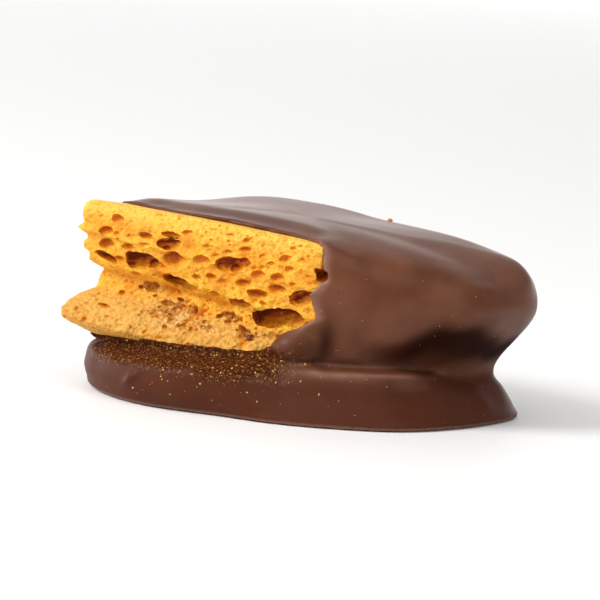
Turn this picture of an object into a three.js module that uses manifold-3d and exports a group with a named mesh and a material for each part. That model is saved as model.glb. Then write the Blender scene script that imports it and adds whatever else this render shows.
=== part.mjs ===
// Chocolate-covered honeycomb: a broken lump of aerated toffee, dipped in chocolate that ran down
// and set as a thick foot under it. The front-left corner was left bare and shows the bubbles.
// Millimetres, +Z up. The foot rests on z = 0, -Y is the front with the bare break, +X the covered end.
import * as THREE from "three";
import { mergeVertices } from "three/addons/utils/BufferGeometryUtils.js";
import Module from "manifold-3d";

const wasm = await Module();
wasm.setup();

const DEGREE = Math.PI / 180;
const { clamp, lerp, smoothstep } = THREE.MathUtils;

// The middle of the lump in plan: every ring of the solids is drawn round this upright line.
const MIDDLE = { x: 0.53, y: 0.46 };

// The toffee slab: its heights, how its top falls towards +X and towards the back left, and where the
// +X end rolls off.
const SLAB_TOP = 25.6;
const SLAB_BASE = 8.8;
const TOP_FALL = 0.09;
const BACK_FALL = 0.09;
const BACK_FALL_Y = -15;
const ROLL_OFF_X = 20;
const ROLL_OFF = 0.004;
const ROOT_BASE = 3.4; // the slab's foot, sunk in the pooled chocolate
const ROOT_SHARE = 0.84;
const ROOT_TAPER = 0.94;

// Flat breaks round the slab: the way each faces, in degrees from +X, and its distance from the middle.
const BREAKS = [
  { facing: 0, distance: 33.7 },
  { facing: 52, distance: 19.6 },
  { facing: 88, distance: 20.5 },
  { facing: 146, distance: 20.9 },
  { facing: 257, distance: 18.7 },
  { facing: 276, distance: 19.8 },
  { facing: 322, distance: 28.4 },
];
// How sharp the corners between the breaks are, bare and under the chocolate.
const SLAB_CORNERS = 34;
const COAT_CORNERS = 15;
const FOOT_RIM = [
  { facing: 0, distance: 33.8 },
  { facing: 48, distance: 25 },
  { facing: 90, distance: 25.2 },
  { facing: 142, distance: 25.4 },
  { facing: 188, distance: 34.4 },
  { facing: 224, distance: 31.6 },
  { facing: 264, distance: 25.2 },
  { facing: 318, distance: 28.6 },
];
const NECK = [
  { facing: 0, distance: 33 },
  { facing: 50, distance: 19 },
  { facing: 90, distance: 19.8 },
  { facing: 146, distance: 20 },
  { facing: 188, distance: 35.6 },
  { facing: 224, distance: 26.6 },
  { facing: 262, distance: 19.3 },
  { facing: 312, distance: 22.2 },
];

// Chocolate: the film over the top, the thickness down the sides, and the heights of the foot.
const FILM = 1.1;
const SIDE_COAT = 2.1;
const LIP_COAT = 0.9; // where the coat feathers out at the bare break
const LEAST_COAT = 1.2;
const NECK_HEIGHT = 8.3;
const CLEARANCE = 0.3;
// The drop of chocolate at the foot of the front break.
const LIP = { x: -0.2, z: 10.2, width: 7.4, height: 5.4, depth: 5, sunk: 0.8 };

// The bare corner spans these directions from the middle, in degrees from +X.
const BARE_FROM = 190;
const BARE_TO = 272;
const BARE_FADE = 7;
// In plan, the edge of the chocolate on top: from the front break round to the left end.
const BARE_EDGE = [
  [1.6, -17],
  [-7, -14.6],
  [-16, -11],
  [-23, -6.5],
  [-27.5, -3],
  [-38, 3],
];
// At the front, how far that edge wanders along X at each height.
const FRONT_EDGE = [
  [8.4, -8.5],
  [11.5, -3.5],
  [15, 0.6],
  [18, -0.8],
  [22, 1],
  [26, 0.4],
];

// Large bubbles that open in the front break: centre x and z, width, height and tilt in degrees.
const BUBBLES = [
  { x: -3, z: 14, width: 7.7, height: 3.4, tilt: 4 },
  { x: -22.7, z: 20.4, width: 5.8, height: 2.9, tilt: -8 },
  { x: -10, z: 21, width: 5.4, height: 2.4, tilt: 5 },
  { x: -16.9, z: 17.5, width: 5.6, height: 1.8, tilt: -12 },
  { x: -19.5, z: 22.9, width: 3.7, height: 2, tilt: 0 },
  { x: -18.5, z: 20.8, width: 3.4, height: 2.3, tilt: -14 },
  { x: 0, z: 17.4, width: 3.7, height: 2.3, tilt: 10 },
  { x: 3.4, z: 20.7, width: 3.2, height: 1.9, tilt: 0 },
  { x: -8.6, z: 15.5, width: 4.1, height: 1.6, tilt: -5 },
  { x: -6.2, z: 17.1, width: 3.3, height: 1.6, tilt: -5 },
  { x: -3.3, z: 18.2, width: 2.9, height: 1.5, tilt: -6 },
  { x: -8.3, z: 18.5, width: 2.5, height: 1.3, tilt: 0 },
  { x: -6.3, z: 19.9, width: 2.4, height: 1.6, tilt: 0 },
  { x: -3.5, z: 20, width: 2.3, height: 1.4, tilt: 0 },
  { x: -2.6, z: 22.7, width: 2.1, height: 1.5, tilt: 0 },
  { x: -14.5, z: 21.1, width: 2.9, height: 1.8, tilt: 0 },
  { x: -8.4, z: 23.4, width: 2.1, height: 1.1, tilt: 0 },
  { x: -28, z: 22.1, width: 2.1, height: 1.7, tilt: 0 },
  { x: -28.3, z: 23.8, width: 1.9, height: 1.4, tilt: 0 },
  { x: -26.9, z: 25.7, width: 1.9, height: 1.3, tilt: 0 },
  { x: -22.9, z: 23.8, width: 2.2, height: 1, tilt: 0 },
  { x: -19.3, z: 24.3, width: 2.8, height: 0.9, tilt: -5 },
  { x: -17.7, z: 13.1, width: 3.9, height: 2.5, tilt: -10 },
  { x: -20.9, z: 16.1, width: 3.2, height: 1.4, tilt: -14 },
];
// Bubbles of the left end, which the front view shows only edge on: evenly spread, of mixed sizes,
// between two directions from the middle.
const END_BUBBLES = { count: 12, widest: 4.4, least: 1.8, from: 190, to: 200, low: 10.5, high: 24.5 };

// The broken left end, bottom to top: how far it stands out of the flat break at each height.
const END_RELIEF = [
  [8.8, -2.2],
  [9.8, 0.6],
  [10.9, 2.7],
  [12.3, 2.7],
  [13.2, 1.6],
  [14.2, 0.2],
  [15.2, -2.4],
  [16.6, -2.8],
  [18.1, -3.3],
  [18.7, -1.6],
  [19.5, -0.4],
  [21.6, 0],
  [24, 0.3],
  [26.2, 0.7],
  [27.4, 0.2],
  [28.2, -0.6],
];
const END_X = -32;
const RELIEF_LEAN = 0.15; // how much lower the relief lies for each millimetre from that end
const RELIEF_SHARE = 0.3; // what is left of it at the front
const RELIEF_FROM = 205; // full at the left end, and gone by this far round the front
const RELIEF_TO = 250;
const CRAG = 0.32; // roughness of the bare breaks

const COLOURS = { toffee: 0xe9a93c, chocolate: 0x553227 };

function solid(geometry) {
  const { position } = geometry.attributes;
  const made = new wasm.Mesh({
    numProp: 3,
    vertProperties: new Float32Array(position.array),
    triVerts: new Uint32Array(geometry.index.array),
  });
  return new wasm.Manifold(made);
}

function geometryOf(manifold) {
  const { vertProperties, triVerts } = manifold.getMesh();
  const geometry = new THREE.BufferGeometry();
  geometry.setAttribute("position", new THREE.BufferAttribute(vertProperties, 3));
  geometry.setIndex(new THREE.BufferAttribute(triVerts, 1));
  geometry.computeVertexNormals();
  return geometry;
}

function welded(geometry) {
  geometry.deleteAttribute("uv");
  geometry.deleteAttribute("normal");
  return mergeVertices(geometry, 1e-4);
}

// The value at `at` on straight lines between [place, value] pairs.
function between(pairs, at) {
  const next = pairs.findIndex(([place]) => place > at);
  if (next === -1) return pairs[pairs.length - 1][1];
  if (next === 0) return pairs[0][1];
  const [[p0, v0], [p1, v1]] = [pairs[next - 1], pairs[next]];
  return lerp(v0, v1, (at - p0) / (p1 - p0));
}

// The radius of the outline that flat breaks make in one direction. A high `edge` keeps corners sharp.
function outline(breaks, angle, edge) {
  let sum = 0;
  for (const { facing, distance } of breaks) {
    const lean = Math.cos(angle - facing * DEGREE);
    if (lean > 0) sum += (lean / distance) ** edge;
  }
  return sum ** (-1 / edge);
}

// A closed skin of rings round the middle. `place(angle, t)` gives radius and height, with t from the
// middle of the top, 0, to the middle of the underside, 1. `crowding` gathers sides at the bare corner.
const CROWDING = 0.35;
const CROWD_AT = 222;

function ringed(sides, rings, place, crowding = 0) {
  const skin = new THREE.SphereGeometry(1, sides, rings);
  const { position, uv } = skin.attributes;
  for (let i = 0; i < position.count; i++) {
    const turn = Math.PI * (1 + 2 * uv.getX(i));
    const angle = turn - crowding * Math.sin(turn - CROWD_AT * DEGREE);
    const [radius, height] = place(angle, 1 - uv.getY(i));
    position.setXYZ(
      i,
      MIDDLE.x + radius * Math.cos(angle),
      MIDDLE.y + radius * Math.sin(angle),
      height,
    );
  }
  return welded(skin);
}

function degreesOf(angle) {
  return (((angle / DEGREE) % 360) + 360) % 360;
}

// 1 in the bare corner, 0 where the chocolate covers the toffee.
function bareness(angle) {
  const turn = degreesOf(angle);
  return smoothstep(turn, BARE_FROM - BARE_FADE, BARE_FROM) * (1 - smoothstep(turn, BARE_TO, BARE_TO + BARE_FADE));
}

function slabTop(x, y) {
  const back = BACK_FALL * smoothstep(-x, 2, 24) * Math.max(0, y - BACK_FALL_Y);
  return SLAB_TOP - TOP_FALL * x - back - ROLL_OFF * Math.max(0, x - ROLL_OFF_X) ** 2;
}

// The top of the slab above the point `radius` out from the middle.
function topAbove(angle, radius) {
  return slabTop(MIDDLE.x + radius * Math.cos(angle), MIDDLE.y + radius * Math.sin(angle));
}

// Uneven ground for crags: a few waves that cross each other.
function waves(x, y, z) {
  return (
    (Math.sin(1.1 * x + 0.7 * z + 1) + Math.sin(1.7 * z - 0.9 * y + 2) + Math.sin(2.3 * x + 1.9 * y)) / 3
  );
}

// How far the bare breaks stand in front of the flat ones.
function relief(angle, height) {
  const x = MIDDLE.x + outline(BREAKS, angle, SLAB_CORNERS) * Math.cos(angle);
  const round = 1 - smoothstep(degreesOf(angle), RELIEF_FROM, RELIEF_TO);
  const standing = between(END_RELIEF, height + RELIEF_LEAN * (x - END_X));
  return bareness(angle) * standing * lerp(RELIEF_SHARE, 1, round);
}

// The corner where two faces meet, rounded: how far it is cut back at `depth` below the face.
function rounding(radius, depth) {
  const share = clamp(1 - depth / radius, 0, 1);
  return radius * (1 - Math.sqrt(1 - share ** 2));
}

// The slab's skin, ring by ring: over the top, down the sides, in under the slab, down its sunken root
// and across the floor. A `gap` pushes the whole skin out.
const SLAB_RINGS = { top: 4, side: 17, under: 2, root: 2, floor: 2 };
const SLAB_SIDES = 60;

function toffeeSkin(gap) {
  const { top: topEnd, ...others } = SLAB_RINGS;
  const sideEnd = topEnd + others.side;
  const underEnd = sideEnd + others.under;
  const rootEnd = underEnd + others.root;
  const floorEnd = rootEnd + others.floor;
  return (angle, t) => {
    const ring = Math.round(t * floorEnd);
    const bare = bareness(angle);
    const flat = outline(BREAKS, angle, SLAB_CORNERS);
    const x = MIDDLE.x + flat * Math.cos(angle);
    const y = MIDDLE.y + flat * Math.sin(angle);
    const top = slabTop(x, y);
    const shelf = SLAB_BASE - 0.8;
    const side = (height) => {
      const cut =
        rounding(lerp(3.6, 0.5, bare), top - height) + rounding(lerp(2, 0.7, bare), height - SLAB_BASE);
      const broken = flat - cut + relief(angle, height) + bare * CRAG * waves(x, y, height);
      return bare === 1 ? broken : Math.min(broken, coatRadius(angle, height) - LEAST_COAT);
    };
    const root = Math.min(ROOT_SHARE * outline(NECK, angle, 10), side(SLAB_BASE) - 0.5);
    if (ring <= topEnd) {
      const share = ring / topEnd;
      const radius = side(top) * share;
      return [radius + gap * share, topAbove(angle, radius) + gap];
    }
    if (ring < sideEnd) {
      const height = lerp(top, SLAB_BASE, (ring - topEnd) / others.side);
      return [side(height) + gap, height];
    }
    if (ring <= underEnd) {
      const share = (ring - sideEnd) / others.under;
      return [lerp(side(SLAB_BASE), root, share) + gap, lerp(SLAB_BASE, shelf, share) - gap];
    }
    if (ring <= rootEnd) {
      const share = (ring - underEnd) / others.root;
      return [root * lerp(1, ROOT_TAPER, share) + gap, lerp(shelf, ROOT_BASE, share) - gap];
    }
    const share = (floorEnd - ring) / others.floor;
    return [(root * ROOT_TAPER + gap) * share, ROOT_BASE - gap];
  };
}

function slabSkin(gap) {
  const rings = Object.values(SLAB_RINGS).reduce((sum, count) => sum + count);
  return solid(ringed(SLAB_SIDES, rings, toffeeSkin(gap), CROWDING));
}

// The chocolate's outer skin as a smooth profile in each direction: film, shoulder, belly, tuck,
// neck, shelf, skirt, rim and flat underside. The foot flares out low at the covered end, stands
// as a steep skirt along the front and as a blunt heel under the bare end, and the shoulder over
// the front is soft.
const COAT_SIDES = 48;
const COAT_RINGS = 34;
const profiles = new Map();

function coatProfile(angle) {
  const turn = degreesOf(angle);
  const body = outline(BREAKS, angle, COAT_CORNERS);
  const lip = smoothstep(turn, 262, 276) * (1 - smoothstep(turn, 284, 304));
  const coat = lerp(SIDE_COAT, LIP_COAT, lip);
  const rim = outline(FOOT_RIM, angle, 9) + 0.5 * Math.sin(3 * angle + 1) + 0.3 * Math.sin(7 * angle);
  const neck = outline(NECK, angle, 10);
  const flare = 1 - smoothstep(Math.abs(turn > 180 ? turn - 360 : turn), 22, 60);
  const skirt = smoothstep(turn, 246, 266) * (1 - smoothstep(turn, 308, 342));
  const heel = smoothstep(turn, 170, 186) * (1 - smoothstep(turn, 236, 262));
  const soft = smoothstep(turn, 258, 285) * (1 - smoothstep(turn, 335, 358));
  const shelf = lerp(0.45, 0.28, smoothstep(turn, 298, 325));
  const shelfShare = lerp(lerp(lerp(0.6, 0.08, flare), shelf, skirt), 0.8, heel);
  const skirtShare = lerp(lerp(0.94, 0.5, flare), 0.68, skirt);
  const edge = topAbove(angle, body);
  const low = NECK_HEIGHT - 1.1 * flare - 0.3 * soft - 0.4 * heel;
  const topAt = (share) => topAbove(angle, share * body) + FILM;
  const up = (share) => lerp(low, edge, share);
  const places = [
    [0, topAt(0)],
    [0.4 * body, topAt(0.4)],
    [0.72 * body, topAt(0.72) - 0.2 * soft],
    [0.9 * body, topAt(0.9) - 0.6 * soft],
    [body - lerp(0.4, 0.3, soft), edge + 0.5 - 0.9 * soft],
    [body + lerp(0.75, 0.7, soft) * coat, up(lerp(0.85, 0.82, soft))],
    [body + coat, up(0.6)],
    [body + lerp(coat, neck - body, lerp(0.2, 0.42, flare)), up(0.34)],
    [lerp(body, neck, 0.75), up(0.13)],
    [neck, low],
    [lerp(neck, rim, shelfShare) + 0.2 * heel, lerp(lerp(7, 7.4, skirt), 6.4, heel) - 1.2 * flare * (1 - skirt)],
    [lerp(neck, rim, skirtShare) + 0.3 * heel, lerp(4.4, 3.9, skirt) - 0.2 * flare],
    [rim, lerp(lerp(2, 1.1, flare), 0.9, skirt) + 0.5 * heel],
    [rim - lerp(lerp(1, 0.3, flare), 0.4, skirt) - 0.7 * heel, 0],
    [0.8 * rim, 0],
    [0.4 * rim, 0],
    [0, 0],
  ];
  return new THREE.SplineCurve(places.map(([radius, height]) => new THREE.Vector2(radius, height)));
}

function profileAt(angle) {
  const key = angle.toFixed(6);
  if (!profiles.has(key)) profiles.set(key, coatProfile(angle));
  return profiles.get(key);
}

function chocolateSkin(angle, t) {
  const { x: radius, y: height } = profileAt(angle).getPoint(t);
  return [radius, Math.max(0, height)];
}

// The stretch of the profile from the shoulder down to the neck, as parts of the whole.
const COAT_SIDE = [3 / 16, 9 / 16];

// How far out the chocolate's side lies at a height.
function coatRadius(angle, height) {
  const profile = profileAt(angle);
  let [high, low] = COAT_SIDE;
  for (let i = 0; i < 24; i++) {
    const middle = (high + low) / 2;
    if (profile.getPoint(middle).y > height) high = middle;
    else low = middle;
  }
  return profile.getPoint(low).x;
}

// A drop of chocolate that hangs over the foot of the front break.
function lip() {
  const drop = welded(new THREE.SphereGeometry(0.5, 18, 12));
  drop.scale(LIP.width, LIP.depth, LIP.height);
  return solid(drop.translate(LIP.x, onFront(LIP.x, LIP.sunk), LIP.z));
}

// What the dipping left bare: a block over the front-left corner, down to the foot.
function bareCorner() {
  const plan = new THREE.Shape();
  const [first, ...rest] = BARE_EDGE;
  plan.moveTo(first[0], -45);
  plan.lineTo(...first);
  plan.splineThru(rest.map(([x, y]) => new THREE.Vector2(x, y)));
  plan.lineTo(-55, 3);
  plan.lineTo(-55, -45);
  const low = FRONT_EDGE[0][0] + 0.1;
  const block = new THREE.ExtrudeGeometry(plan, {
    depth: 34 - low,
    steps: 10,
    curveSegments: 14,
    bevelEnabled: false,
  });
  block.translate(0, 0, low);
  const { position } = block.attributes;
  for (let i = 0; i < position.count; i++) {
    const [x, y, z] = [position.getX(i), position.getY(i), position.getZ(i)];
    const near = smoothstep(x, -16, -1);
    position.setX(i, x + near * between(FRONT_EDGE, z));
  }
  return welded(block);
}

function bubble({ x, y, z, width, height, depth, facing, tilt }) {
  const hole = welded(new THREE.SphereGeometry(0.5, 8, 6));
  hole.scale(width, height, depth);
  hole.rotateZ(tilt * DEGREE);
  hole.rotateX(90 * DEGREE);
  hole.rotateZ((facing - 270) * DEGREE);
  return solid(hole.translate(x, y, z));
}

// The place in Y of the flat front break at x, `inward` of its surface.
function onFront(x, inward) {
  const { facing, distance } = BREAKS.find((face) => face.facing === 257);
  const lean = facing * DEGREE;
  return MIDDLE.y + (distance - inward - (x - MIDDLE.x) * Math.cos(lean)) / Math.sin(lean);
}

function frontBubbles() {
  return BUBBLES.map((one) => {
    const depth = 0.9 * one.width;
    const inward = 0.12 * depth;
    return bubble({ ...one, y: onFront(one.x, inward), depth, facing: 257 });
  });
}

function endBubbles() {
  const { count, widest, least, from, to, low, high } = END_BUBBLES;
  return Array.from({ length: count }, (_, i) => {
    const angle = lerp(from, to, (i * 0.618) % 1) * DEGREE;
    const width = lerp(least, widest, ((i * 5) % count) / count);
    const z = lerp(low, high, (i + 0.5) / count);
    const radius = outline(BREAKS, angle, SLAB_CORNERS) + relief(angle, z) - 0.1 * width;
    return bubble({
      x: MIDDLE.x + radius * Math.cos(angle),
      y: MIDDLE.y + radius * Math.sin(angle),
      z,
      width,
      height: 0.5 * width,
      depth: width,
      facing: from,
      tilt: 0,
    });
  });
}

const bubbles = wasm.Manifold.union([...frontBubbles(), ...endBubbles()]);

function honeycomb() {
  return slabSkin(0).subtract(bubbles);
}

// The bubbles at the edge of the break go through the chocolate too.
function chocolateCoat() {
  const whole = solid(ringed(COAT_SIDES, COAT_RINGS, chocolateSkin));
  const broken = whole.subtract(solid(bareCorner())).add(lip());
  return broken.subtract(slabSkin(CLEARANCE)).subtract(bubbles);
}

function piece(name, manifold, colour, roughness) {
  const material = new THREE.MeshStandardMaterial({ color: colour, roughness, metalness: 0 });
  const mesh = new THREE.Mesh(geometryOf(manifold), material);
  mesh.name = name;
  return mesh;
}

const lump = new THREE.Group();
lump.add(piece("honeycomb_core", honeycomb(), COLOURS.toffee, 0.55));
lump.add(piece("chocolate_coat", chocolateCoat(), COLOURS.chocolate, 0.35));

export default lump;
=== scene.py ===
"""Chocolate-covered honeycomb: a broken lump of aerated toffee in set milk chocolate.

The shapes are worked out in millimetres round the middle of the lump and turned to metres at the end.
-Y is the front with the bare break, +X the covered end, and the foot stands on z = 0.
"""

import math
import random
from collections import namedtuple

import bmesh
import bpy
from mathutils import Matrix, Vector, noise
from mathutils.bvhtree import BVHTree


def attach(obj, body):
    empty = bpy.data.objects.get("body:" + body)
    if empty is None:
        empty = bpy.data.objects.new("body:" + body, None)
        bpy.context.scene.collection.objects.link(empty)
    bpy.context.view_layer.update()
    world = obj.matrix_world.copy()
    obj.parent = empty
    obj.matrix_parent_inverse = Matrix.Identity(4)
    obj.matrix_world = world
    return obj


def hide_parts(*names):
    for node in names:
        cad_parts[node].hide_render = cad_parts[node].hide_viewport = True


MM = 0.001
TAU = 2 * math.pi

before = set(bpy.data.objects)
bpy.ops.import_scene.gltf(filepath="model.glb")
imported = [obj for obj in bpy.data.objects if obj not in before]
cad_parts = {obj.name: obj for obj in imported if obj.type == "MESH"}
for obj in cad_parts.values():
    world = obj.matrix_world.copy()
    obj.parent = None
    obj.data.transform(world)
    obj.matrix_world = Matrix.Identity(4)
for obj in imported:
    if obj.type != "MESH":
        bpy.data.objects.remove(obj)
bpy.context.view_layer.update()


# The lump's main sizes, in millimetres. The solids have the same ones, but for the soft front's fall.

MIDDLE = Vector((0.53, 0.46, 0.0))
SLAB_TOP = 25.6
SLAB_BASE = 8.3
TOP_FALL = 0.09
BACK_FALL = 0.09
BACK_FALL_Y = -15
ROLL_OFF_X = 20
ROLL_OFF = 0.004
ROOT_BASE = 3.4
ROOT_SHARE = 0.84
ROOT_TAPER = 0.94

# Flat breaks: the way each faces, in degrees from +X, and its distance from the middle.
BREAKS = [(0, 33.7), (52, 19.6), (88, 20.5), (146, 20.9), (257, 18.7), (276, 19.8), (322, 28.4)]
# The toffee's front break runs on a little further under the chocolate's edge.
SLAB_BREAKS = [(facing, 20.6 if facing == 276 else distance) for facing, distance in BREAKS]
FOOT_RIM = [
    (0, 33.8), (48, 25), (90, 25.2), (142, 25.4), (188, 34.4), (224, 31.6), (264, 25.2), (318, 28.6),
]
NECK = [(0, 33), (50, 19), (90, 19.8), (146, 20), (188, 35.6), (224, 26.6), (262, 19.2), (312, 22.2)]
# How tightly each outline turns its corners: a higher number is sharper.
SLAB_CORNERS = 34
COAT_CORNERS = 15
RIM_CORNERS = 9
NECK_CORNERS = 10

# Spans of direction, in degrees from +X: where each form comes in, and where it goes out again.
SOFT_FRONT = ((262, 298), (335, 358))
LIP_SPAN = ((262, 276), (284, 304))
SKIRT_SPAN = ((246, 266), (308, 342))
HEEL_SPAN = ((170, 186), (236, 262))
LEDGE_SPAN = ((176, 200), (258, 276))
# The slab's edge lies this much lower along the soft front.
SOFT_FALL = 0.8

FILM = 1.1
SIDE_COAT = 2.1
LIP_COAT = 0.9
LEAST_COAT = 1.0
NECK_HEIGHT = 8.3
LIP = {"place": (0.0, 10.0), "size": (6.8, 5.4, 5.4), "sunk": 0.1}

BARE_FROM = 190
BARE_TO = 277
BARE_FADE = 6
BARE_EDGE = [(1.6, -17), (-7, -14.6), (-16, -11), (-23, -6.5), (-27.5, -3), (-38, 3)]
FRONT_EDGE = [
    (8.4, -8.5), (11.5, -3.5), (15, 0.6), (18, -0.8), (20, 0.9), (22, 1), (24.8, 0.7), (26.4, -0.6),
]

# The broken left end, bottom to top: how far it stands out at each height. Towards the front the same
# relief lies lower and fades.
END_RELIEF = [
    (8.3, -2.8), (9.4, -0.4), (10.2, 1.7), (11.1, 2.8), (12.3, 2.7), (13.2, 1.6), (14.2, 0.3), (15.2, -2.4),
    (16.6, -2.8), (18.1, -3.3), (18.7, -1.6), (19.5, -0.4), (21.6, 0), (23.2, 0.3), (23.9, 1.2), (24.6, 0.3),
    (26.2, 0.7), (27.4, 0.2), (28.2, -0.6),
]
END_X = -32
RELIEF_LEAN = 0.15
RELIEF_SHARE = 0.3
RELIEF_FROM = 205
RELIEF_TO = 250

# Bubbles that open deep in the front break: centre x and z, width, height and tilt in degrees.
DEEP_BUBBLES = [
    (-3.6, 14, 6.4, 3.2, 6), (-1.2, 14.2, 4.6, 2.9, -4), (-23.2, 20.1, 5, 2.7, -6),
    (-21.2, 19.8, 3.2, 1.5, -24), (-10.4, 21, 4.2, 2.4, 4), (-8.9, 21.3, 3, 1.7, 8),
    (-17.3, 17.3, 5.4, 1.8, -17), (-19.2, 17.9, 2.2, 1.4, -10), (-19.5, 22.9, 3.7, 2, 0),
    (0.2, 17.4, 3.7, 2.3, 14), (3.2, 20.9, 3, 1.9, 0), (-8.6, 15.5, 3.3, 1.4, -4),
    (-9.9, 13.3, 2.7, 1, -16), (-6.3, 19.9, 2.2, 1.6, 0), (-2.6, 22.7, 1.8, 1.3, 10),
    (-1.9, 21.3, 1.4, 1.1, 0), (-27.1, 25.7, 1.9, 1.3, -16), (-28.4, 22, 2.4, 1.8, 0),
    (-28.6, 23.8, 2.3, 1.4, 0), (-22.9, 23.8, 2.1, 1, -8), (-19.3, 24.3, 2.8, 0.9, -6),
    (-17.2, 13.4, 2.4, 1.9, 24), (-18.8, 14, 2.2, 1.1, -10), (-15.8, 12.2, 2.2, 1.2, -14),
    (-20.2, 12.9, 1.6, 1, 0), (-7.4, 11.3, 3.2, 1.1, -40),
    (-21.6, 16.1, 2.4, 1.3, -20), (-0.2, 21.3, 0.6, 0.5, 0), (-24.2, 16.6, 0.6, 0.6, 0),
    (-25.7, 17.3, 0.6, 0.5, 0), (-31.6, 11.7, 0.6, 0.5, 0),
]
# Bubbles that the break only grazed, so that they are shallow bowls.
SHALLOW_BUBBLES = [
    (-18.5, 20.8, 3.6, 2.4, -14), (-14.5, 21.1, 2.8, 1.8, -6), (-6.2, 17.1, 3.3, 1.6, -5),
    (-3.3, 18.2, 2.9, 1.5, -6), (-8.3, 18.5, 2.5, 1.3, 0), (-3.5, 20, 2.3, 1.4, 0),
    (-8.4, 23.4, 2.1, 1.1, 0), (-28.3, 20, 3.8, 1.1, -22), (-25.3, 21.9, 1.8, 1.1, 0),
    (-23, 22.4, 1.6, 1, 0), (-16.9, 24.8, 1.8, 1, 8), (-8.3, 24.7, 1.4, 0.9, 0),
    (-10.8, 22.8, 1.4, 0.8, 0), (-5.9, 22.8, 1.2, 0.8, 20), (-5.8, 21, 1.2, 1, 0),
    (-4.6, 21.8, 1.3, 0.8, 0), (0.1, 22.6, 1.2, 0.8, 0), (-1.2, 19.2, 1.3, 0.8, 0),
    (-29.5, 25.8, 0.9, 0.7, 0), (-27.1, 23.6, 1.1, 0.9, -20), (-25.3, 23.5, 0.8, 0.6, 0),
    (-28.1, 13, 2.2, 0.7, -8),
    (-13, 18.9, 2, 1.1, -10), (-11.4, 18.4, 1.4, 1, 0), (-14, 23.2, 1.3, 0.8, 0),
    (-23.8, 18, 1.6, 0.7, -10), (-12.2, 16.4, 1.7, 0.9, -10), (-5.2, 15.9, 1.5, 0.8, -20),
    (-26.4, 19.9, 1.7, 0.9, -16), (-24.6, 20, 1.2, 0.8, 0), (-1.6, 24.3, 1.1, 0.7, 0),
    (-12.6, 22, 1.3, 0.8, 10), (-21, 18, 1.3, 0.7, -20), (-15, 18.6, 1.6, 0.9, -20),
]
# How far behind the break a bubble's middle lies, and how deep the bubble reaches, as shares of its depth
# and of its width.
DEEP = 0.12
SHALLOW = -0.08
DEEP_REACH = 0.66
SHALLOW_REACH = 0.9

# Crushed hollows, each a crowd of small bubbles: centre x and z, half width, half height and how many.
CRUSHED = [
    (-17.8, 12.8, 3.5, 2, 26), (-21.4, 15.9, 1.9, 0.7, 8), (-9.8, 13.2, 1.6, 0.8, 8),
    (-13.4, 11.4, 2, 0.8, 7), (-7.2, 10.9, 1.3, 0.7, 5),
]

# Strewn bubbles: how many at most, their widths, directions and heights, how far behind the break their
# middles lie, and their heights as a share of their widths.
STREWN = [
    (30, (0.7, 1.5), (189, 274), (9.5, 26), -0.15, (0.5, 0.9)),
    (22, (1.6, 3.4), (186, 199), (10, 25), 0.0, (0.5, 0.9)),
    (60, (0.4, 1.1), (200, 262), (10, 16), 0.1, (0.5, 1.0)),
    (150, (0.4, 0.8), (188, 276), (8.8, 27), 0.0, (0.6, 1.0)),
]

Bubble = namedtuple("Bubble", "place facing width height depth tilt sunk")


# Small helpers for numbers, curves and meshes.

def clamp(value, low, high):
    return max(low, min(high, value))


def lerp(a, b, share):
    return a + (b - a) * share


def smoothstep(value, low, high):
    share = clamp((value - low) / (high - low), 0, 1)
    return share * share * (3 - 2 * share)


def window(value, rise, fall):
    """Goes from 0 to 1 over the span `rise`, and back to 0 over the span `fall`."""
    return smoothstep(value, *rise) * (1 - smoothstep(value, *fall))


def hump(value, middle, width):
    """A bell that is 1 in the middle and about a third at `width` from it."""
    return math.exp(-(((value - middle) / width) ** 2))


def between(pairs, at):
    """The value at `at` on straight lines between (place, value) pairs."""
    if at <= pairs[0][0]:
        return pairs[0][1]
    for (place, value), (after, later) in zip(pairs, pairs[1:]):
        if at < after:
            return lerp(value, later, (at - place) / (after - place))
    return pairs[-1][1]


def curve(points, t):
    """The point at `t`, from 0 to 1, of the smooth curve through the points."""
    last = len(points) - 1
    at = t * last
    i = min(int(at), last - 1)
    w = at - i
    before, start, end, after = (points[clamp(k, 0, last)] for k in (i - 1, i, i + 1, i + 2))
    place = []
    for a, b, c, d in zip(before, start, end, after):
        into, out = (c - a) / 2, (d - b) / 2
        place.append(b + into * w + (3 * (c - b) - 2 * into - out) * w**2 + (2 * (b - c) + into + out) * w**3)
    return place


def ripple(place, size, seed=0.0):
    """Smooth noise from about -1 to 1 that changes over `size` millimetres."""
    return noise.noise(Vector(place) / size + Vector((seed, 2 * seed, 3 * seed)))


def piece(name, bm):
    """A mesh object from a bmesh."""
    mesh = bpy.data.meshes.new(name)
    bm.to_mesh(mesh)
    bm.free()
    made = bpy.data.objects.new(name, mesh)
    bpy.context.scene.collection.objects.link(made)
    return made


def settle(made):
    """Applies the modifiers of a piece."""
    made.update_tag()
    bpy.context.view_layer.update()
    shape = made.evaluated_get(bpy.context.evaluated_depsgraph_get())
    mesh = bpy.data.meshes.new_from_object(shape)
    rough = made.data
    made.modifiers.clear()
    made.data = mesh
    bpy.data.meshes.remove(rough)


def join_or_cut(made, tool, operation):
    """Joins a piece with a tool, or cuts it with one, and removes the tool."""
    modifier = made.modifiers.new(operation.lower(), "BOOLEAN")
    modifier.operation = operation
    modifier.solver = "MANIFOLD"
    modifier.object = tool
    settle(made)
    bpy.data.meshes.remove(tool.data)


def mark(made, name, values):
    """Keeps a number for each point of a piece, for its material."""
    made.data.attributes.new(name, "FLOAT", "POINT").data.foreach_set("value", values)


def tree_of(made):
    """A tree of a piece's surface, to find places on it."""
    bm = bmesh.new()
    bm.from_mesh(made.data)
    tree = BVHTree.FromBMesh(bm)
    bm.free()
    return tree


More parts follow.
